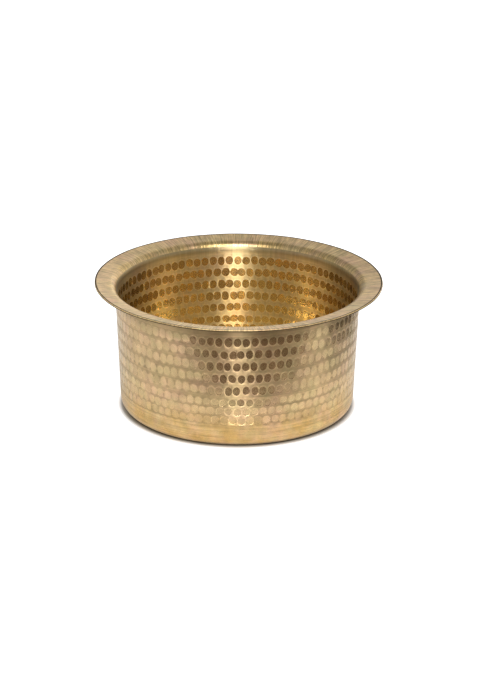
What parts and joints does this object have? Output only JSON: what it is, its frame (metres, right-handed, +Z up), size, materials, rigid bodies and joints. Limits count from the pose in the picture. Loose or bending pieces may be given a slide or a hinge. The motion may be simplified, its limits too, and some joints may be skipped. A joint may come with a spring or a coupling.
{
  "type": "cooking pot",
  "caption": "Hammered brass cooking pot: a straight-sided, flat-bottomed bowl raised from one sheet, with a wide flared lip.",
  "frame": {"origin": "middle of the flat base, on the surface the pot stands on", "axes": "+Z up along the pot's axis of revolution; +X and +Y are level, and no side differs from another"},
  "size_m": [0.242, 0.242, 0.112],
  "materials": {
    "hammered_brass": "polished yellow brass, hammered in rows inside and out, lip brushed from the inside outwards, foot turned"
  },
  "bodies": {
    "root": {"hammered_vessel": "hammered_brass"}
  },
  "joints": []
}
